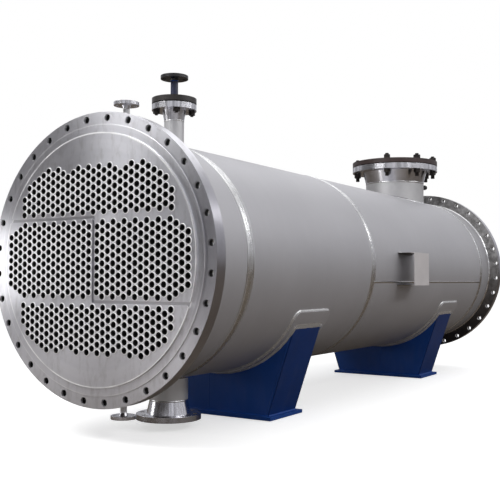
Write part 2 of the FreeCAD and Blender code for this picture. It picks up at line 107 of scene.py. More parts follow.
# The outline of a tube end's seal weld, as radius and height in millimetres, and how many of its faces,
# counted from the last, are the tube's mouth, painted dark as painted shade.
RIM_OUTLINE = ((15.6, -0.2), (15.4, 0.6), (14.8, 2.0), (13.8, 3.0), (12.6, 3.35), (11.8, 3.25),
               (10.9, 2.6), (10.5, -0.2))
MOUTH_FACES = 4

# Nuts and the small plug: across flats, height and bore.
SERVICE_NUT = (27 * MM, 16 * MM, 7.8 * MM)
INLET_NUT = (41 * MM, 25 * MM, 13.3 * MM)
BOSS_PLUG = (24 * MM, 10 * MM, 0.4 * MM)

# The inlet's cover has a stud in every other hole, counted from +X towards +Y, and one is missing.
STUD_EVERY = 2
MISSING_STUD = 6

# The studio: how bright the surroundings are, where their dark card stands, counted from +X towards +Y,
# and each light's place, aim, size and brightness.
SKY = 1.02
DARK_CARD = math.radians(158)
LIGHTS = {
    "overhead": ((0.5, -0.6, 4.8), (0.3, 0, 0.7), (9.0, 3.0), 0.55),
    "right_side": ((1.0, -6.0, 4.4), (0.6, 0, 0.9), (7.0, 0.8), 6.0),
    "left_card": ((-2.75, 2.3, 0.73), (-1.85, 0.2, 0.72), (0.95, 0.6), 4.6),
    "front_high": ((-4.35, 1.75, 3.85), (-1.85, 0, 0.72), (2.6, 1.5), 8.8),
}
FLOOR_REACH, FLOOR_DROP = 40, 2 * MM

# The camera's place, its turn from +X towards +Y, its tilt up and its roll in degrees, and its lens.
CAMERA_PLACE = (-4.1835, -2.200, 0.6407)
CAMERA_TURNS = (32.41, 2.163, 0.210)
CAMERA_LENS = 57.67


def on_shell(x, angle, radius=SHELL_R):
    """A point round the shell axis, at an angle from -Z towards +Y."""
    return Vector((x, SHELL_AXIS.y + radius * math.sin(angle), SHELL_AXIS.z - radius * math.cos(angle)))


def from_axis(angle):
    """The direction away from the shell axis at an angle from -Z towards +Y."""
    return Vector((0, math.sin(angle), -math.cos(angle)))


def round_way(angle):
    """The direction round the shell, towards a greater angle."""
    return Vector((0, math.cos(angle), math.sin(angle)))


# ---------------- node materials
def add_node(tree, kind, inputs=None, **settings):
    """A shader node whose inputs are numbers, colours or other nodes' sockets."""
    made = tree.nodes.new("ShaderNode" + kind)
    for key, value in settings.items():
        setattr(made, key, value)
    for key, value in (inputs or {}).items():
        if isinstance(value, bpy.types.NodeSocket):
            tree.links.new(value, made.inputs[key])
        else:
            made.inputs[key].default_value = value
    return made


def calculate(tree, operation, first, second=0.0):
    return add_node(tree, "Math", {0: first, 1: second}, operation=operation).outputs[0]


def multiply(tree, first, *others):
    """The product of numbers and sockets."""
    for other in others:
        first = calculate(tree, "MULTIPLY", first, other)
    return first


def opposite(tree, value):
    return calculate(tree, "SUBTRACT", 1.0, value)


def distance_from(tree, value, place):
    return calculate(tree, "ABSOLUTE", calculate(tree, "SUBTRACT", value, place))


def between(tree, factor, low, high):
    """A number between low and high as the factor goes from 0 to 1."""
    limits = {"Value": factor, "To Min": low, "To Max": high}
    return add_node(tree, "MapRange", limits).outputs["Result"]


def band(tree, value, low, high):
    """0 below low and 1 above high, smoothly."""
    limits = {"Value": value, "From Min": low, "From Max": high}
    return add_node(tree, "MapRange", limits, interpolation_type="SMOOTHSTEP").outputs["Result"]


def blend_colours(tree, factor, first, second):
    """The first colour where the factor is 0, and the second where it is 1."""
    made = add_node(tree, "Mix", data_type="RGBA")
    for socket, value in ((made.inputs[0], factor), (made.inputs[6], first), (made.inputs[7], second)):
        if isinstance(value, bpy.types.NodeSocket):
            tree.links.new(value, socket)
        elif isinstance(value, (int, float)):
            socket.default_value = value
        else:
            socket.default_value = (*value, 1)
    return made.outputs[2]


def place_in(tree, scale=(1, 1, 1), origin=(0, 0, 0)):
    """Object coordinates, which are places in the frame, from an origin and stretched."""
    place = add_node(tree, "TexCoord").outputs["Object"]
    moved = add_node(tree, "VectorMath", {0: place, 1: tuple(origin)}, operation="SUBTRACT").outputs[0]
    return add_node(tree, "VectorMath", {0: moved, 1: scale}, operation="MULTIPLY").outputs[0]


def length_of(tree, place):
    return add_node(tree, "VectorMath", {0: place}, operation="LENGTH").outputs["Value"]


def streaks(tree, distance, scale, detail):
    """Noise that changes along one distance only."""
    inputs = {"W": distance, "Scale": scale, "Detail": detail}
    return add_node(tree, "TexNoise", inputs, noise_dimensions="1D").outputs["Fac"]


def speckle(tree, place, scale, detail=2.0, roughness=0.5):
    inputs = {"Vector": place, "Scale": scale, "Detail": detail, "Roughness": roughness}
    return add_node(tree, "TexNoise", inputs).outputs["Fac"]


def bump(tree, height, distance, strength=1.0, normal=None):
    inputs = {"Height": height, "Distance": distance, "Strength": strength}
    if normal:
        inputs["Normal"] = normal
    return add_node(tree, "Bump", inputs).outputs["Normal"]


def rounded_edges(tree, radius):
    """The normal of a surface whose edges are rounded to a radius."""
    return add_node(tree, "Bevel", {"Radius": radius}, samples=4).outputs["Normal"]


def new_material(name):
    """An empty material, its tree and its principled shader."""
    material = bpy.data.materials.new(name)
    material.use_nodes = True
    tree = material.node_tree
    return material, tree, tree.nodes["Principled BSDF"]


def feed(tree, shader, **sockets):
    """Link or set the shader's sockets; an underscore in a name stands for a space."""
    for key, value in sockets.items():
        socket = shader.inputs[key.replace("_", " ")]
        if isinstance(value, bpy.types.NodeSocket):
            tree.links.new(value, socket)
        elif isinstance(value, tuple):
            socket.default_value = (*value, 1)
        else:
            socket.default_value = value


def along(tree, axis):
    """The place along one axis of the frame."""
    coordinates = add_node(tree, "TexCoord").outputs["Object"]
    return add_node(tree, "SeparateXYZ", {0: coordinates}).outputs[axis]


def beside_girth_welds(tree):
    """1 on the strips that were ground bright on both sides of each girth weld, and 0 elsewhere."""
    uneven = between(tree, speckle(tree, place_in(tree), 30, 3), -4 * MM, 4 * MM)
    x = calculate(tree, "ADD", along(tree, "X"), uneven)
    nearest = 1.0
    for node in GIRTH_WELDS:
        nearest = calculate(tree, "MINIMUM", distance_from(tree, x, middle(node).x), nearest)
    return opposite(tree, band(tree, nearest, GROUND_STRIP - 3 * MM, GROUND_STRIP))


def shell_plate(name="shell_plate", pale=1.0):
    """Blasted stainless plate: matt, mottled, with rolling streaks, and ground bright at its welds."""
    material, tree, shader = new_material(name)
    place = place_in(tree)
    mottle = speckle(tree, place, 2.6, 5, 0.62)
    rolling = speckle(tree, place_in(tree, (9, 0.8, 0.8)), 4, 4, 0.6)
    dark, light = ([channel * pale for channel in colour] for colour in (
        (0.44, 0.437, 0.462), (0.53, 0.525, 0.548)))
    colour = blend_colours(tree, mottle, dark, light)
    colour = blend_colours(tree, between(tree, rolling, 0.0, 0.16), colour, (0.36, 0.355, 0.36))
    # The ground strips are faded out towards the shell's underside: painted shade.
    height = band(tree, along(tree, "Z"), SHELL_AXIS.z - 0.42, SHELL_AXIS.z + 0.05)
    ground = multiply(tree, beside_girth_welds(tree), between(tree, height, 0.15, 1.0))
    brushed = band(tree, streaks(tree, along(tree, "X"), 160, 2), 0.42, 0.58)
    colour = blend_colours(tree, ground, colour,
                           blend_colours(tree, brushed, (0.42, 0.42, 0.425), (0.92, 0.92, 0.92)))
    rough = calculate(tree, "SUBTRACT", between(tree, mottle, 0.46, 0.58), multiply(tree, ground, 0.27))
    scratch = speckle(tree, place_in(tree, (1, 0.05, 0.05)), 700, 2)
    fine = calculate(tree, "ADD", speckle(tree, place, 900, 2), multiply(tree, ground, scratch))
    feed(tree, shader, Base_Color=colour, Metallic=between(tree, ground, 0.45, 1.0), Roughness=rough,
         Normal=bump(tree, fine, 0.0004, 0.35, rounded_edges(tree, 1.5 * MM)))
    return material


def bracket_plate():
    """The bracket's bare face, with its returns to the shell painted dark as painted shade."""
    material, tree, shader = new_material("bracket_plate")
    place = place_in(tree)
    mottle = speckle(tree, place, 9, 4, 0.6)
    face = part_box("nameplate_bracket")[0].y + 5 * MM
    # Painted shade: from here towards the shell the bracket's returns are painted near black.
    behind = band(tree, along(tree, "Y"), face, face + 30 * MM)
    plain = blend_colours(tree, mottle, (0.62, 0.595, 0.60), (0.78, 0.75, 0.75))
    painted_shade_colour = blend_colours(tree, mottle, (0.03, 0.026, 0.022), (0.14, 0.125, 0.11))
    feed(tree, shader, Base_Color=blend_colours(tree, behind, plain, painted_shade_colour), Metallic=0.35,
         Roughness=between(tree, mottle, 0.45, 0.60),
         Normal=bump(tree, speckle(tree, place, 700, 2), 0.0003, 0.3, rounded_edges(tree, 1.0 * MM)))
    return material


def machined_steel(name, centre, axis):
    """Bright turned stainless steel, its tool marks running round a centre about an axis."""
    material, tree, shader = new_material(name)
    colour, rough, normal = turned_finish(tree, centre, 0.16)
    tangent = add_node(tree, "Tangent", direction_type="RADIAL", axis=axis).outputs["Tangent"]
    feed(tree, shader, Base_Color=colour, Metallic=1.0, Roughness=rough, Anisotropic=0.75,
         Anisotropic_Rotation=0.25, Normal=normal, Tangent=tangent)
    return material


def turned_finish(tree, centre, smoothest=0.27):
    """Colour, roughness and normal of a turned face, with smudges and where it was wiped."""
    place = place_in(tree, origin=centre)
    distance = length_of(tree, place)
    marks = streaks(tree, distance, 500, 3)
    smudge = speckle(tree, place, 5, 4, 0.6)
    wiped = speckle(tree, place_in(tree, (1, 1, 0.4)), 34, 5, 0.65)
    broad = streaks(tree, distance, 60, 3)
    colour = blend_colours(tree, broad, (0.585, 0.585, 0.625), (0.785, 0.78, 0.815))
    colour = blend_colours(tree, multiply(tree, band(tree, smudge, 0.5, 0.8), 0.5), colour,
                           (0.58, 0.575, 0.59))
    colour = blend_colours(tree, multiply(tree, band(tree, wiped, 0.46, 0.70), 0.38), colour,
                           (0.42, 0.41, 0.415))
    rough = calculate(tree, "ADD", between(tree, smudge, smoothest, smoothest + 0.09),
                      between(tree, marks, 0.0, 0.06))
    normal = bump(tree, marks, 0.00012, 0.35, rounded_edges(tree, 1.2 * MM))
    return colour, rough, normal


def ring_painted_shade(tree, radius):
    """1 on the bolt ring at its -Y side, where it is painted darker as painted shade, and 0 elsewhere."""
    on_ring = band(tree, radius, BOLT_CIRCLE_R - 42 * MM, BOLT_CIRCLE_R - 36 * MM)
    away = band(tree, along(tree, "Y"), -BOLT_CIRCLE_R, 0.15 - BOLT_CIRCLE_R)
    return multiply(tree, on_ring, opposite(tree, away))


def forged_back(tree, axis_z):
    """Colour of the sheet's rough inner face, darker towards the bottom."""
    scale = band(tree, speckle(tree, place_in(tree), 26, 5, 0.7), 0.3, 0.7)
    forged = blend_colours(tree, scale, (0.20, 0.195, 0.19), (0.58, 0.57, 0.565))
    plain = band(tree, along(tree, "Z"), axis_z - 0.45, axis_z + 0.2)
    return blend_colours(tree, plain, (0.13, 0.12, 0.115), forged)


def hole_walls(tree, out, radius):
    """Two stretches of the bolt holes' walls: one under the ring's face painted black as painted shade, and
    one behind painted near white as a painted highlight.
    """
    in_hole = calculate(tree, "LESS_THAN", distance_from(tree, radius, BOLT_CIRCLE_R), HOLE_REACH)
    past_bright = band(tree, out, SHEET_BACK + 24 * MM, SHEET_BACK + 28 * MM)
    under_face = opposite(tree, band(tree, out, RING_FACE - 12 * MM, RING_FACE - 5 * MM))
    shaded_stretch = multiply(tree, past_bright, under_face, in_hole)
    return shaded_stretch, multiply(tree, opposite(tree, past_bright), in_hole)


def step_highlights(tree, radius):
    """Thin lines along the sheet's two turned steps, painted bright in patches as painted highlights on
    their edges.
    """
    edge = 0.0
    for step_radius, width, strength in ((FIELD_R, 5 * MM, 1.0), (BAND_R, 4 * MM, 0.35)):
        off_line = distance_from(tree, radius, step_radius - width / 2)
        line = opposite(tree, band(tree, off_line, width / 2 - 1 * MM, width / 2 + 1 * MM))
        edge = calculate(tree, "ADD", edge, multiply(tree, line, strength))
    highlight_patches = band(tree, speckle(tree, place_in(tree), 11, 3), 0.35, 0.65)
    return multiply(tree, edge, between(tree, highlight_patches, 0.45, 1.0))


def tubesheet_steel():
    """A turned face in front, a rough dark one behind, painted highlights along its steps and in its bolt
    holes, and painted shade in the bolt holes, the lane grooves and on the bolt ring's -Y side.
    """
    material, tree, shader = new_material("tubesheet_steel")
    centre = middle("front_tubesheet")
    colour, rough, normal = turned_finish(tree, (0, centre.y, centre.z))
    out = calculate(tree, "ABSOLUTE", along(tree, "X"))
    radius = length_of(tree, place_in(tree, (0, 1, 1), (0, centre.y, centre.z)))
    in_front = band(tree, out, SHEET_BACK + 0.2 * MM, SHEET_BACK + 1.5 * MM)
    shaded_wall, highlight_wall = hole_walls(tree, out, radius)
    # Painted shade: the floors of the lane grooves are painted darker.
    in_lane = multiply(tree, calculate(tree, "LESS_THAN", out, -FRONT_FACE - 2 * MM),
                       calculate(tree, "LESS_THAN", radius, FIELD_R - 2 * MM), in_front)
    # Painted highlights: lines along the sheet's two steps and the far stretch of each bolt hole's wall.
    bright = calculate(tree, "MAXIMUM", multiply(tree, step_highlights(tree, radius), in_front),
                       multiply(tree, highlight_wall, in_front))
    # Painted shade: the bolt ring is darkened on its -Y side.
    ring_shade = multiply(tree, ring_painted_shade(tree, radius), 0.7)
    colour = blend_colours(tree, ring_shade, colour, (0.30, 0.29, 0.32))
    colour = blend_colours(tree, in_front, forged_back(tree, centre.z), colour)
    # Painted shade: the bolt holes' walls under the ring's face are painted black.
    colour = blend_colours(tree, shaded_wall, colour, (0.02, 0.02, 0.02))
    colour = blend_colours(tree, in_lane, colour, (0.47, 0.465, 0.49))
    colour = blend_colours(tree, bright, colour, (0.97, 0.97, 0.97))
    rough = calculate(tree, "ADD", rough, multiply(tree, opposite(tree, in_front), 0.18))
    tangent = add_node(tree, "Tangent", direction_type="RADIAL", axis="X").outputs["Tangent"]
    feed(tree, shader, Base_Color=colour, Metallic=between(tree, bright, 1.0, 0.15), Roughness=rough,
         Anisotropic=0.75, Anisotropic_Rotation=0.25, Normal=normal, Tangent=tangent)
    return material


def pipe_steel():
    """Pickled stainless pipe: satin, with lengthwise drawing marks and cloudy patches."""
    material, tree, shader = new_material("pipe_steel")
    place = place_in(tree)
    cloud = speckle(tree, place, 14, 4, 0.6)
    drawn = speckle(tree, place_in(tree, (1, 1, 0.04)), 260, 3)
    colour = blend_colours(tree, cloud, (0.52, 0.52, 0.53), (0.68, 0.675, 0.68))
    rough = between(tree, cloud, 0.42, 0.54)
    normal = bump(tree, drawn, 0.0003, 0.3, rounded_edges(tree, 1.0 * MM))
    feed(tree, shader, Base_Color=colour, Metallic=0.75, Roughness=rough, Normal=normal)
    return material


def weld_metal(name="weld_metal", dark=(0.52, 0.52, 0.525), bright=(0.84, 0.84, 0.845),
               tint=(0.40, 0.385, 0.37), metallic=1.0):
    """Brushed weld: bright and uneven, with grey and straw heat tints."""
    material, tree, shader = new_material(name)
    place = place_in(tree)
    patch = speckle(tree, place, 60, 3)
    colour = blend_colours(tree, patch, dark, bright)
    tinted = band(tree, speckle(tree, place, 23, 2), 0.60, 0.80)
    colour = blend_colours(tree, multiply(tree, tinted, 0.6), colour, tint)
    feed(tree, shader, Base_Color=colour, Metallic=metallic, Roughness=between(tree, patch, 0.18, 0.32),
         Normal=bump(tree, speckle(tree, place, 700, 3), 0.0005, 0.5))
    return material


def speckled(name, patches, dark, light, metallic, roughness, grain, depth=0.0003, strength=0.4):
    """A finish that changes from patch to patch under a fine grain, each given as a noise's settings."""
    material, tree, shader = new_material(name)
    place = place_in(tree)
    patch = speckle(tree, place, *patches)
    rough = between(tree, patch, *roughness) if isinstance(roughness, tuple) else roughness
    feed(tree, shader, Base_Color=blend_colours(tree, patch, dark, light), Metallic=metallic,
         Roughness=rough, Normal=bump(tree, speckle(tree, place, *grain), depth, strength))
    return material


def tube_steel():
    """The tubes' own walls: rough, and painted near black as painted shade in their deep bores."""
    return speckled("tube_steel", (240, 3), (0.006, 0.006, 0.006), (0.022, 0.020, 0.020), 0.4,
                    (0.6, 0.9), (240, 3))


def rim_steel():
    """Seal welds round the tube ends: pale and clean, each a little different."""
    return speckled("rim_steel", (45, 3), (0.92, 0.92, 0.93), (0.99, 0.99, 0.99), 0.08,
                    (0.34, 0.46), (500, 3))


def bore_shadow():
    """The inside of a tube's mouth, painted near black as painted shade."""
    return speckled("tube_bore_shade", (300, 3), (0.010, 0.010, 0.010), (0.035, 0.033, 0.032), 0.2,
                    0.75, (300, 3), strength=0.3)


def black_steel():
    """Black oxide bolting with an oily brown bloom."""
    return speckled("black_steel", (75, 4, 0.6), (0.010, 0.009, 0.009), (0.040, 0.032, 0.028), 0.6,
                    (0.30, 0.50), (900, 2), 0.0002)


def gasket_fibre():
    """Compressed fibre sheet: dark, matt and flecked."""
    return speckled("gasket_fibre", (600, 4, 0.7), (0.012, 0.012, 0.012), (0.06, 0.055, 0.05), 0.0, 0.85,
                    (600, 4, 0.7), 0.0004, 0.5)


# Each paint's two film colours, what shows where it is scuffed, its roughness and its gloss.
PAINTS = {
    # The saddles' paint is a brighter copy of the end plates' navy: painted light that lifts the shade on
    # the webs under the shell.
    "saddle_paint": ((0.006, 0.045, 0.21), (0.012, 0.070, 0.33), (0.05, 0.12, 0.33), 0.40, 0.25),
    "end_plate_paint": ((0.002, 0.024, 0.120), (0.006, 0.040, 0.195), (0.04, 0.09, 0.24), 0.38, 0.20),
    "service_cover_paint": ((0.010, 0.009, 0.009), (0.045, 0.038, 0.034), (0.16, 0.13, 0.11), 0.40, 0.5),
    "inlet_cover_paint": ((0.030, 0.018, 0.017), (0.060, 0.036, 0.034), (0.15, 0.10, 0.09), 0.45, 0.5),
    "black_paint": ((0.006, 0.006, 0.007), (0.020, 0.020, 0.022), (0.10, 0.10, 0.10), 0.35, 0.5),
    "stub_paint": ((0.010, 0.016, 0.050), (0.020, 0.030, 0.085), (0.10, 0.12, 0.18), 0.35, 0.5),
}


def paint(name):
    """Sprayed paint over steel: uneven film, orange peel, and scuffs where it is thin."""
    dark, light, worn, roughness, gloss = PAINTS[name]
    material, tree, shader = new_material(name)
    place = place_in(tree)
    film = speckle(tree, place, 7, 4, 0.6)
    colour = blend_colours(tree, film, dark, light)
    scuff = band(tree, speckle(tree, place, 46, 5, 0.68), 0.72, 0.78)
    colour = blend_colours(tree, multiply(tree, scuff, 0.5), colour, worn)
    dust = band(tree, speckle(tree, place_in(tree, (1, 1, 0.3)), 19, 3), 0.45, 0.8)
    colour = blend_colours(tree, multiply(tree, dust, 0.05), colour, (0.20, 0.20, 0.20))
    normal = bump(tree, speckle(tree, place, 330, 2), 0.0006, 0.35, rounded_edges(tree, 1.5 * MM))
    rough = calculate(tree, "ADD", between(tree, film, roughness - 0.06, roughness + 0.06),
                      multiply(tree, scuff, 0.2))
    feed(tree, shader, Base_Color=colour, Metallic=0.0, Roughness=rough, Specular_IOR_Level=gloss,
         Normal=normal)
    return material


# ---------------- meshes
class Shape:
    """Vertices and faces gathered for one mesh."""

    def __init__(self):
        self.vertices, self.faces = [], []

    def add(self, rings, closed):
        """Join rings of points into a closed skin; a path with two ends gets a face at each."""
        first, count = len(self.vertices), len(rings[0])
        for ring in rings:
            self.vertices.extend(ring)
        for step in range(len(rings) if closed else len(rings) - 1):
            this = first + step * count
            following = first + (step + 1) % len(rings) * count
            for side in range(count):
                other = (side + 1) % count
                self.faces.append((this + side, this + other, following + other, following + side))
        if not closed:
            last = first + (len(rings) - 1) * count
            self.faces.append(tuple(range(first + count - 1, first - 1, -1)))
            self.faces.append(tuple(range(last, last + count)))


def new_piece(name, shape, material, replaces=(), sharp=40):
    """Make a shape into a piece that rides on the exchanger's one body."""
    mesh = bpy.data.meshes.new(name)
    mesh.from_pydata(shape.vertices, [], shape.faces)
    work = bmesh.new()
    work.from_mesh(mesh)
    bmesh.ops.recalc_face_normals(work, faces=work.faces)
    work.to_mesh(mesh)
    work.free()
    mesh.materials.append(material)
    mesh.shade_smooth()
    mesh.set_sharp_from_angle(angle=math.radians(sharp))
    piece = bpy.data.objects.new(name, mesh)
    bpy.context.scene.collection.objects.link(piece)
    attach(piece, "root")
    for node in replaces:
        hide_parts(node)
    return piece


def round_axis(centre, axis, radius, steps):
    """Stations of a full turn round an axis, spanned by the axis and the way out."""
    side = axis.orthogonal().normalized()
    other = axis.cross(side)
    stations = []
    for step in range(steps):
        turn = TURN * step / steps
        out = side * math.cos(turn) + other * math.sin(turn)
        stations.append((centre + out * radius, axis, out))
    return stations


def lathe(shape, outline, centre, axis, segments=32):
    """Turn a closed outline of (radius, height) pairs round an axis."""
    shape.add([[centre + out * radius + axis * height for radius, height in outline]
               for _, _, out in round_axis(centre, axis, 0, segments)], closed=True)


def sweep(shape, stations, outline, closed):
    """Carry an outline along stations: each is a point and the two directions that it spans."""
    rings = []
    distance = 0.0
    for number, (point, first, second) in enumerate(stations):
        if number:
            distance += (point - stations[number - 1][0]).length
        rings.append([point + first * across + second * out for across, out in outline(distance)])
    shape.add(rings, closed)


# ---------------- welds
def ripple(distance, pitch):
    """Height of a solidified ripple, from 0 to 1, rising slowly and falling fast."""
    part = distance / pitch % 1.0
    return part / 0.7 if part < 0.7 else (1 - part) / 0.3


def butt_weld(width, height, pitch, seed, lobes=1, root=1.0 * MM):
    """The outline of a butt weld's crown, laid in one or two passes, down to a flat root."""
    samples = 6 * lobes

    def outline(distance):
        wander = 0.05 * width * noise.noise(Vector((distance * 18, seed, 0)))
        swell = 1 + 0.25 * noise.noise(Vector((distance * 31, seed, 5)))
        points = [(width / 2 + wander, -root), (-width / 2 + wander, -root)]
        for sample in range(samples + 1):
            across = 2 * sample / samples - 1
            arch = math.sin(math.pi * (sample / samples * lobes % 1.0))
            crown = 0.3 * (1 - across ** 2) + 0.7 * arch
            crown *= 1 - 0.4 * ripple(distance + 0.5 * pitch * arch, pitch)
            points.append((across * width / 2 + wander, height * swell * crown))
        return points
    return outline


def fillet_weld(leg, pitch, seed):
    """The outline of a fillet weld, from its corner out along two plates."""
    def outline(distance):
        reach = leg * (1 + 0.16 * noise.noise(Vector((distance * 27, seed, 9))))
        points = [(-SUNK, -SUNK)]
        for sample in range(7):
            share = sample / 6
            arch = math.sin(math.pi * share)
            swell = 1 + 0.30 * arch - 0.12 * arch * ripple(distance + 0.4 * pitch * arch, pitch)
            points.append((reach * (1 - share) * swell - SUNK * share,
                           reach * share * swell - SUNK * (1 - share)))
        return points
    return outline


def round_shell(x, first, steps):
    """Stations of a full turn round the shell's face."""
    turns = [TURN * step / steps for step in range(steps)]
    return [(on_shell(x, turn), first, from_axis(turn)) for turn in turns]


def straight(start, end, first, second):
    """Stations along a straight line."""
    count = max(2, int((end - start).length / WELD_STEP))
    return [(start.lerp(end, number / count), first, second) for number in range(count + 1)]


def nozzle_root(nozzle, steps):
    """Stations where a nozzle's pipe meets the shell, spanned by the shell's face and the pipe's."""
    centre = middle(nozzle + "_neck")
    radius = extent(nozzle + "_neck").x / 2
    side = NOZZLES[nozzle]
    stations = []
    for _, _, out in round_axis(centre, Z_AXIS, radius, steps):
        across = radius * out.y
        up = side * math.sqrt(SHELL_R ** 2 - across ** 2)
        shell_out = Vector((0, across, up)).normalized()
        along_shell = (out - shell_out * out.dot(shell_out)).normalized()
        point = Vector((centre.x + radius * out.x, SHELL_AXIS.y + across, SHELL_AXIS.z + up))
        stations.append((point, along_shell, Z_AXIS * side))
    return stations


def make_girth_welds(material):
    """Two passes side by side round the shell, through its whole wall."""
    for seed, node in enumerate(GIRTH_WELDS):
        shape = Shape()
        outline = butt_weld(GIRTH_WIDTH, GIRTH_PROUD, pitch=7 * MM, seed=seed, lobes=2, root=SHELL_WALL)
        sweep(shape, round_shell(middle(node).x, X_AXIS, GIRTH_STEPS), outline, True)
        new_piece(node + "_bead", shape, material, [node])


def make_long_seams(material):
    """One lengthwise seam in each rolled course and ring, staggered round the shell."""
    for seed, (node, turn) in enumerate(SEAM_TURNS.items()):
        low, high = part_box(node)
        start, end = (on_shell(x, turn) for x in (low.x, high.x))
        shape = Shape()
        outline = butt_weld(SEAM_WIDTH, SEAM_PROUD, pitch=5 * MM, seed=20 + seed)
        sweep(shape, straight(start, end, round_way(turn), from_axis(turn)), outline, False)
        new_piece(node + "_seam", shape, material)


def make_tubesheet_welds(material):
    """The fillet between the shell and the inner face of each tubesheet."""
    sheets = (("front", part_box("front_tubesheet")[1].x, 1), ("rear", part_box("rear_tubesheet")[0].x, -1))
    for seed, (name, face, way) in enumerate(sheets):
        shape = Shape()
        outline = fillet_weld(leg=9 * MM, pitch=6 * MM, seed=30 + seed)
        sweep(shape, round_shell(face, X_AXIS * way, FILLET_STEPS), outline, True)
        new_piece(name + "_tubesheet_weld", shape, material)


def make_hub_weld(name, foot, radius, steps, seed, material):
    """The butt weld between a nozzle's pipe and its flange."""
    width = 5 * MM + 0.03 * radius
    shape = Shape()
    outline = butt_weld(width, 0.18 * width, pitch=4 * MM, seed=seed)
    sweep(shape, round_axis(foot, Z_AXIS, radius, steps), outline, True)
    new_piece(name + "_hub_weld", shape, material)


def make_nozzle_welds(material):
    """The fillet at each nozzle's root and the butt weld between its pipe and its flange."""
    for seed, (nozzle, side) in enumerate(NOZZLES.items()):
        radius = extent(nozzle + "_neck").x / 2
        steps = int(TURN * radius / WELD_STEP)
        root = Shape()
        leg = 3 * MM + 0.03 * radius
        sweep(root, nozzle_root(nozzle, steps), fillet_weld(leg=leg, pitch=5 * MM, seed=40 + seed), True)
        new_piece(nozzle + "_root_weld", root, material)
        foot = middle(nozzle + "_flange")
        foot.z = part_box(nozzle + "_flange")[0 if side > 0 else 1].z
        make_hub_weld(nozzle, foot, radius, steps, 50 + seed, material)


def make_stub_welds(material):
    """The small pipe's fillet on the service cover and the butt weld under its flange."""
    radius = extent("stub_pipe").x / 2
    steps = int(TURN * radius / WELD_STEP)
    foot, top = middle("stub_pipe"), middle("stub_pipe")
    foot.z, top.z = (corner.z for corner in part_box("stub_pipe"))
    make_hub_weld("stub", top, radius, steps, 60, material)
    shape = Shape()
    stations = [(point, out, axis) for point, axis, out in round_axis(foot, Z_AXIS, radius, steps)]
    sweep(shape, stations, fillet_weld(leg=5 * MM, pitch=4 * MM, seed=61), True)
    new_piece("stub_foot_weld", shape, material)


# ---------------- saddles and the nameplate bracket
def pad_radius(saddle):
    return SHELL_AXIS.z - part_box(saddle + "pad")[0].z


def pad_edge(saddle):
    """Stations round a wear pad's edge, spanned by the shell's face and the way out."""
    centre, size = middle(saddle + "pad"), extent(saddle + "pad")
    half_turn = math.asin(size.y / 2 / pad_radius(saddle))
    half_length, half_arc = size.x / 2 - PAD_CORNER, SHELL_R * half_turn - PAD_CORNER
    outline = []
    for number, (sign_x, sign_arc) in enumerate(((1, 1), (-1, 1), (-1, -1), (1, -1))):
        for step in range(19):
            turn = TURN * (number + step / 18) / 4
            out = Vector((math.cos(turn), math.sin(turn)))
            corner = Vector((sign_x * half_length, sign_arc * half_arc))
            outline.append((corner + out * PAD_CORNER, out))
    stations = []
    for number, (place, out) in enumerate(outline):
        following, next_out = outline[(number + 1) % len(outline)]
        count = max(1, int((following - place).length / WELD_STEP))
        for step in range(count):
            spot = place.lerp(following, step / count)
            way = out.lerp(next_out, step / count).normalized()
            turn = spot.y / SHELL_R
            outward = X_AXIS * way.x + round_way(turn) * way.y
            stations.append((on_shell(centre.x + spot.x, turn), outward, from_axis(turn)))
    return stations


def end_plate(saddle):
    """The outer face of the end plate on the -Y side: its top, its foot and its inner top and foot."""
    mesh = frame["nodes"][saddle + "right_end"].data
    corners = [(vertex.co.y, vertex.co.z) for vertex in mesh.vertices]
    low = min(z for _, z in corners)
    top = min(corners, key=lambda corner: (-round(corner[1], 4), corner[0]))
    foot = [corner for corner in corners if corner[1] - low < 0.1 * MM]
    above = [corner for corner in corners if corner[1] > low + 0.1 * MM]
    inner = [corner for corner in above if corner[0] > top[0] + 10 * MM]
    return top, min(foot), max(foot), max(inner, key=lambda corner: corner[0])


def seat_turn(saddle):
    """The turn from the shell's lowest line to where an end plate's outer face meets the pad."""
    return math.asin(-end_plate(saddle)[0][0] / pad_radius(saddle))


def weld_web(saddle, x, away, seed, seat, foot, seams):
    """The welds on one face of a saddle's web: at the pad, the base, the end plates and its middle."""
    radius, reach = pad_radius(saddle), seat_turn(saddle)
    steps = int(2 * reach * radius / WELD_STEP)
    turns = [reach * (2 * step / steps - 1) for step in range(steps + 1)]
    arc = [(on_shell(x, turn, radius), X_AXIS * away, from_axis(turn)) for turn in turns]
    sweep(seat, arc, fillet_weld(leg=9 * MM, pitch=8 * MM, seed=seed + away), False)
    _, outer_foot, inner_foot, inner_top = end_plate(saddle)
    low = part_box(saddle + "right_end")[0].z
    start, end = (Vector((x, y, low)) for y in (outer_foot[0], -outer_foot[0]))
    outline = fillet_weld(leg=6 * MM, pitch=6 * MM, seed=seed + 2 + away)
    sweep(foot, straight(start, end, X_AXIS * away, Z_AXIS), outline, False)
    for side in (-1, 1):
        start, end = (Vector((x, -side * y, z)) for y, z in (inner_foot, inner_top))
        across = X_AXIS.cross(end - start).normalized()
        outline = butt_weld(width=9 * MM, height=1.6 * MM, pitch=5 * MM, seed=seed + 20 + side)
        sweep(seams, straight(start, end, across, X_AXIS * away), outline, False)
    start, end = (Vector((x, WEB_SEAM_Y[saddle], z)) for z in (low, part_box(saddle + "pad")[0].z))
    outline = butt_weld(width=8 * MM, height=1.6 * MM, pitch=5 * MM, seed=seed + 30)
    sweep(seams, straight(start, end, Y_AXIS, X_AXIS * away), outline, False)


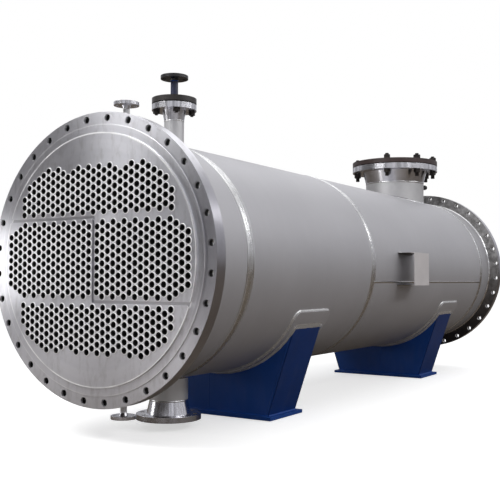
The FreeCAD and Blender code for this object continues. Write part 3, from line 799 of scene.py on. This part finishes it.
def weld_end_plate(saddle, side, seed, seat, foot):
    """The welds on the outer face of an end plate, at the pad and at the base."""
    low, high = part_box(saddle + "right_end")
    top, bottom, _, _ = end_plate(saddle)
    turn = side * seat_turn(saddle)
    down = Vector((0, -side * (bottom[0] - top[0]), bottom[1] - top[1])).normalized()
    start, end = (on_shell(x, turn, pad_radius(saddle)) for x in (low.x, high.x))
    outline = fillet_weld(leg=13 * MM, pitch=9 * MM, seed=seed + 5 + side)
    sweep(seat, straight(start, end, round_way(turn) * side, down), outline, False)
    start, end = (Vector((x, -side * bottom[0], low.z)) for x in (low.x, high.x))
    outline = fillet_weld(leg=6 * MM, pitch=6 * MM, seed=seed + 8 + side)
    sweep(foot, straight(start, end, Y_AXIS * side, -down), outline, False)


def make_saddle_welds(saddle, seed, pale, painted):
    """Bare welds round the pad and where the plates meet it, and painted ones at the base and corners."""
    pad, seat, foot, seams = Shape(), Shape(), Shape(), Shape()
    sweep(pad, pad_edge(saddle), fillet_weld(leg=8 * MM, pitch=7 * MM, seed=seed), True)
    low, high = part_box(saddle + "right_end")
    for x, away in ((low.x, -1), (high.x, 1)):
        weld_web(saddle, x, away, seed, seat, foot, seams)
    for side in (-1, 1):
        weld_end_plate(saddle, side, seed, seat, foot)
    new_piece(saddle + "pad_weld", pad, pale)
    new_piece(saddle + "seat_weld", seat, pale)
    new_piece(saddle + "foot_weld", foot, painted)
    new_piece(saddle + "plate_seams", seams, painted)


def make_bracket_welds(material):
    """A fillet along the outside of each ledge of the nameplate bracket, where it meets the shell."""
    low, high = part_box("nameplate_bracket")
    shape = Shape()
    for seed, (z, way) in enumerate(((high.z, 1), (low.z, -1))):
        turn = -math.acos((SHELL_AXIS.z - z) / SHELL_R)
        start, end = (on_shell(x, turn) for x in (low.x, high.x))
        stations = straight(start, end, -Y_AXIS, -way * round_way(turn))
        sweep(shape, stations, fillet_weld(leg=5 * MM, pitch=5 * MM, seed=80 + seed), False)
    new_piece("nameplate_bracket_weld", shape, material)


# ---------------- bolts, nuts and the small plug
def hexagon(radius, turn):
    """How far a hexagon's edge lies from its middle at a turn, with corners at the radius."""
    sector = turn % (TURN / 6) - TURN / 12
    return radius * math.cos(TURN / 12) / math.cos(sector)


def nut(shape, foot, axis, flats, height, bore):
    """A hexagonal nut with chamfered corners and a bore, its outline turned round the axis."""
    corner = flats / 2 / math.cos(TURN / 12)
    start = noise.noise(foot * 37) * TURN / 2
    side = axis.orthogonal().normalized()
    other = axis.cross(side)
    rings = []
    for step in range(48):
        turn = TURN * step / 48
        out = side * math.cos(turn + start) + other * math.sin(turn + start)
        reach = hexagon(corner, turn)
        cut = (reach - flats / 2 * 0.97) * 0.6
        face = min(reach, flats / 2 * 0.95)
        rings.append([foot + out * radius + axis * up for radius, up in (
            (bore, 0), (face, 0), (reach, cut), (reach, height - cut), (face, height),
            (bore + 1.2 * MM, height), (bore, height - 1.2 * MM))])
    shape.add(rings, closed=True)


def stud(shape, foot, axis, radius, length, pitch=3 * MM):
    """A threaded rod with a rounded point, its threads made as turned rings."""
    depth = 0.35 * pitch
    outline = [(0.05 * MM, 0)]
    up = 0.0
    while up < length - 2 * pitch:
        outline += [(radius - depth, up), (radius, up + pitch / 2)]
        up += pitch
    outline += [(radius - depth, up), (radius - depth, length - pitch), (radius - 2.5 * depth, length),
                (0.05 * MM, length)]
    lathe(shape, outline, foot, axis, 20)


def bolt_places(name):
    """The holes of a bolt-pattern mount, which straddle its two centrelines."""
    row = mount(name)
    centre, radius, count = Vector(row["pos_m"]), row["dims"]["pcd_mm"] / 2 * MM, row["dims"]["count"]
    turns = [TURN * (number + 0.5) / count for number in range(count)]
    return [centre + Vector((math.cos(turn), math.sin(turn), 0)) * radius for turn in turns]


def make_service_bolting(material):
    """Four bolts through the service flange, flush in the cover and with nuts below."""
    shape = Shape()
    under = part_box("service_flange")[1].z - FLANGE_THICK["service"]
    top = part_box("service_cover")[1].z
    for place in bolt_places("service_bolts"):
        foot = Vector((place.x, place.y, under))
        nut(shape, foot, -Z_AXIS, *SERVICE_NUT)
        end = Vector((place.x, place.y, top - 2 * MM))
        stud(shape, end, -Z_AXIS, 8 * MM, end.z - under + 22 * MM, 2 * MM)
    new_piece("service_bolting", shape, material)


def make_inlet_bolting(material):
    """The studs of the inlet's cover, with nuts above and below."""
    shape = Shape()
    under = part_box("inlet_flange")[1].z - FLANGE_THICK["inlet"]
    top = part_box("inlet_cover")[1].z
    for number, place in enumerate(bolt_places("inlet_bolts")):
        if number % STUD_EVERY or number == MISSING_STUD:
            continue
        foot = Vector((place.x, place.y, top))
        nut(shape, foot, Z_AXIS, *INLET_NUT)
        nut(shape, Vector((place.x, place.y, under)), -Z_AXIS, *INLET_NUT)
        low = Vector((place.x, place.y, under - 50 * MM))
        stud(shape, low, Z_AXIS, 13.5 * MM, top + 35 * MM - low.z)
    new_piece("inlet_bolting", shape, material)


def make_boss_plug(black, bare):
    """The hexagonal plug in the half coupling on the inlet's neck, and the weld round the coupling."""
    inlet, boss = middle("inlet_neck"), middle("inlet_boss")
    out = Vector((boss.x - inlet.x, boss.y - inlet.y, 0)).normalized()
    radius, neck = extent("inlet_boss").z / 2, extent("inlet_neck").x / 2
    axis_point = Vector((inlet.x, inlet.y, boss.z))
    reach = abs(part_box("inlet_boss")[1].x - inlet.x - radius * abs(out.y)) / abs(out.x)
    plug = Shape()
    nut(plug, axis_point + out * (reach - 0.5 * MM), out, *BOSS_PLUG)
    new_piece("inlet_boss_plug", plug, black)
    weld = Shape()
    stations = []
    for _, _, way in round_axis(boss, out, radius, int(TURN * radius / (1.2 * MM))):
        sideways = way - Z_AXIS * way.z
        depth = math.sqrt(neck ** 2 - (radius * sideways.length) ** 2)
        stations.append((axis_point + out * depth + way * radius, way, out))
    sweep(weld, stations, fillet_weld(leg=5 * MM, pitch=4 * MM, seed=90), True)
    new_piece("inlet_boss_weld", weld, bare)


# ---------------- tube ends
def tube_centres(node, face):
    """Where each tube ends on the plane x = face, from the corners of the mesh's faces there."""
    mesh = frame["nodes"][node].data
    owner = {}

    def leader(key):
        while owner.setdefault(key, key) != key:
            key = owner[key]
        return key

    for polygon in mesh.polygons:
        corners = [mesh.vertices[index].co for index in polygon.vertices]
        if max(abs(corner.x - face) for corner in corners) < 0.1 * MM:
            keys = [(round(corner.y, 5), round(corner.z, 5)) for corner in corners]
            for key in keys[1:]:
                owner[leader(key)] = leader(keys[0])
    groups = {}
    for key in owner:
        groups.setdefault(leader(key), []).append(key)
    centres = []
    for keys in groups.values():
        across, up = ([key[axis] for key in keys] for axis in (0, 1))
        centres.append(Vector((face, (min(across) + max(across)) / 2, (min(up) + max(up)) / 2)))
    return centres


def make_tube_rims(material, mouth):
    """The seal weld round each tube's end, rounded over the end of the tube's wall."""
    outline = [(radius * MM, height * MM) for radius, height in RIM_OUTLINE]
    for name, face, way in (("front", FRONT_FACE, -1), ("rear", REAR_FACE, 1)):
        shape = Shape()
        for node in TUBE_NODES:
            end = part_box(node)[0 if way < 0 else 1].x
            for centre in tube_centres(node, end):
                lathe(shape, outline, Vector((face, centre.y, centre.z)), X_AXIS * way, 16)
        piece = new_piece(name + "_tube_rims", shape, material, sharp=60)
        # The mouth faces wear the near-black painted shade of the bore.
        piece.data.materials.append(mouth)
        for polygon in piece.data.polygons:
            if polygon.index % len(outline) >= len(outline) - MOUTH_FACES:
                polygon.material_index = 1


# ---------------- the finish of each CAD node
def wear(node, material):
    mesh = frame["nodes"][node].data
    mesh.materials.clear()
    mesh.materials.append(material)


def look_of(name):
    """Which of the looks a CAD node wears."""
    if "tubesheet" in name:
        return "tubesheet"
    if "_saddle_" in name and not name.endswith("_pad"):
        return "end_plate" if name.endswith("_end") else "saddle"
    if name in ("stub_flange", "inlet_boss"):
        return "black"
    for ending in ("service_cover", "inlet_cover", "stub_pipe", "_tubes", "_pad", "_gasket", "_flange",
                   "_neck", "_bracket"):
        if name.endswith(ending):
            return ending.strip("_")
    return "shell"


def finish_nodes(looks):
    """Give each CAD node the material of its kind."""
    for name in frame["nodes"]:
        wear(name, looks[look_of(name)])


# ---------------- studio
def make_floor():
    """A pale floor to the camera, which lights the shell's underside like a dark warm one."""
    mesh = bpy.data.meshes.new("studio_floor")
    signs = ((-1, -1), (1, -1), (1, 1), (-1, 1))
    corners = [(x * FLOOR_REACH, y * FLOOR_REACH, -FLOOR_DROP) for x, y in signs]
    mesh.from_pydata(corners, [], [(0, 1, 2, 3)])
    floor = bpy.data.objects.new("studio_floor", mesh)
    bpy.context.scene.collection.objects.link(floor)
    material, tree, shader = new_material("pale_floor")
    feed(tree, shader, Base_Color=(0.74, 0.74, 0.735), Roughness=0.8)
    in_front = opposite(tree, band(tree, along(tree, "X"), FRONT_FACE - 1.2, FRONT_FACE - 0.3))
    warm = blend_colours(tree, in_front, (0.15, 0.125, 0.10), (0.60, 0.58, 0.57))
    unseen = add_node(tree, "BsdfDiffuse", {"Color": warm})
    glow = add_node(tree, "Emission", {"Color": (1, 1, 1, 1), "Strength": 0.56})
    pale = add_node(tree, "AddShader", {0: shader.outputs[0], 1: glow.outputs[0]})
    seen = add_node(tree, "LightPath").outputs["Is Camera Ray"]
    mixed = add_node(tree, "MixShader", {0: seen, 1: unseen.outputs[0], 2: pale.outputs[0]})
    tree.links.new(mixed.outputs[0], tree.nodes["Material Output"].inputs["Surface"])
    mesh.materials.append(material)


def sky_colour(tree, up):
    """Warm and dim below the horizon, and brighter and cooler up to white overhead."""
    share = calculate(tree, "MULTIPLY", calculate(tree, "ADD", up, 1.0), 0.5)
    ramp = add_node(tree, "ValToRGB", {"Fac": share})
    stops = ramp.color_ramp.elements
    stops[0].position, stops[0].color = 0.0, (0.10, 0.085, 0.07, 1)
    stops[1].position, stops[1].color = 1.0, (1.0, 1.0, 1.0, 1)
    for position, colour in ((0.46, (0.20, 0.18, 0.17, 1)), (0.53, (0.46, 0.46, 0.48, 1)),
                             (0.70, (0.74, 0.745, 0.78, 1))):
        stops.new(position).color = colour
    return ramp.outputs[0]


def sky_level(tree, turn):
    """Soft upright cards all round, and one broad dark one."""
    cards = between(tree, band(tree, streaks(tree, turn, 4.5, 3), 0.38, 0.62), 0.45, 1.35)
    dark_card = between(tree, band(tree, distance_from(tree, turn, DARK_CARD), 0.6, 1.4), 0.22, 1.0)
    return multiply(tree, cards, dark_card, SKY)


def make_world():
    """White to the camera, and to all else the soft surroundings of the studio."""
    world = bpy.data.worlds.new("studio")
    bpy.context.scene.world = world
    world.use_nodes = True
    tree = world.node_tree
    tree.nodes.clear()
    way = add_node(tree, "SeparateXYZ", {0: add_node(tree, "TexCoord").outputs["Generated"]}).outputs
    turn = calculate(tree, "ARCTAN2", way["Y"], way["X"])
    surroundings = add_node(tree, "Background", {"Color": sky_colour(tree, way["Z"]),
                                                 "Strength": sky_level(tree, turn)})
    white = add_node(tree, "Background", {"Color": (1, 1, 1, 1), "Strength": 1.0})
    to_camera = add_node(tree, "LightPath").outputs["Is Camera Ray"]
    mixed = add_node(tree, "MixShader", {0: to_camera, 1: surroundings.outputs[0], 2: white.outputs[0]})
    output = add_node(tree, "OutputWorld")
    tree.links.new(mixed.outputs[0], output.inputs[0])


def make_light(name, place, target, size, level):
    """A rectangular soft light whose face is as bright as the level."""
    light = bpy.data.lights.new(name, "AREA")
    light.shape = "RECTANGLE"
    light.size, light.size_y = size
    light.energy = level * math.pi * size[0] * size[1]
    lamp = bpy.data.objects.new(name, light)
    lamp.location = place
    lamp.rotation_euler = (Vector(target) - Vector(place)).to_track_quat("-Z", "Y").to_euler()
    bpy.context.scene.collection.objects.link(lamp)


def make_camera():
    """At the height of the shell, off its front end and to its right."""
    yaw, pitch, roll = (math.radians(turn) for turn in CAMERA_TURNS)
    ahead = Vector((math.cos(pitch) * math.cos(yaw), math.cos(pitch) * math.sin(yaw), math.sin(pitch)))
    level = ahead.cross(Z_AXIS).normalized()
    upright = level.cross(ahead)
    right = level * math.cos(roll) + upright * math.sin(roll)
    up = upright * math.cos(roll) - level * math.sin(roll)
    data = bpy.data.cameras.new("camera")
    data.lens, data.sensor_width = CAMERA_LENS, 36
    data.clip_end = 200
    camera = bpy.data.objects.new("camera", data)
    facing = Matrix((right, up, -ahead)).transposed().to_4x4()
    camera.matrix_world = Matrix.Translation(CAMERA_PLACE) @ facing
    bpy.context.scene.collection.objects.link(camera)
    bpy.context.scene.camera = camera


# ---------------- the whole scene
make_camera()
bare_weld = weld_metal()
pale_weld = weld_metal("pale_weld", (0.46, 0.46, 0.46), (0.84, 0.84, 0.84), (0.42, 0.40, 0.38), 0.5)
navy = paint("saddle_paint")
oxide = black_steel()
finish_nodes({
    "tubesheet": tubesheet_steel(),
    "tubes": tube_steel(),
    "shell": shell_plate(),
    "pad": shell_plate("pad_plate", 1.1),
    "saddle": navy,
    "end_plate": paint("end_plate_paint"),
    "neck": pipe_steel(),
    "flange": machined_steel("flange_steel", middle("inlet_flange"), "Z"),
    "gasket": gasket_fibre(),
    "service_cover": paint("service_cover_paint"),
    "inlet_cover": paint("inlet_cover_paint"),
    "black": paint("black_paint"),
    "stub_pipe": paint("stub_paint"),
    "bracket": bracket_plate(),
})
make_girth_welds(bare_weld)
make_long_seams(bare_weld)
make_tubesheet_welds(bare_weld)
make_nozzle_welds(bare_weld)
make_stub_welds(navy)
for number, saddle in enumerate(SADDLES):
    make_saddle_welds(saddle, 100 + 50 * number, pale_weld, navy)
make_bracket_welds(bare_weld)
make_service_bolting(oxide)
make_inlet_bolting(oxide)
make_boss_plug(oxide, bare_weld)
make_tube_rims(rim_steel(), bore_shadow())
make_floor()
make_world()
for light_name, facts in LIGHTS.items():
    make_light(light_name, *facts)
bpy.context.scene.view_settings.view_transform = "Standard"
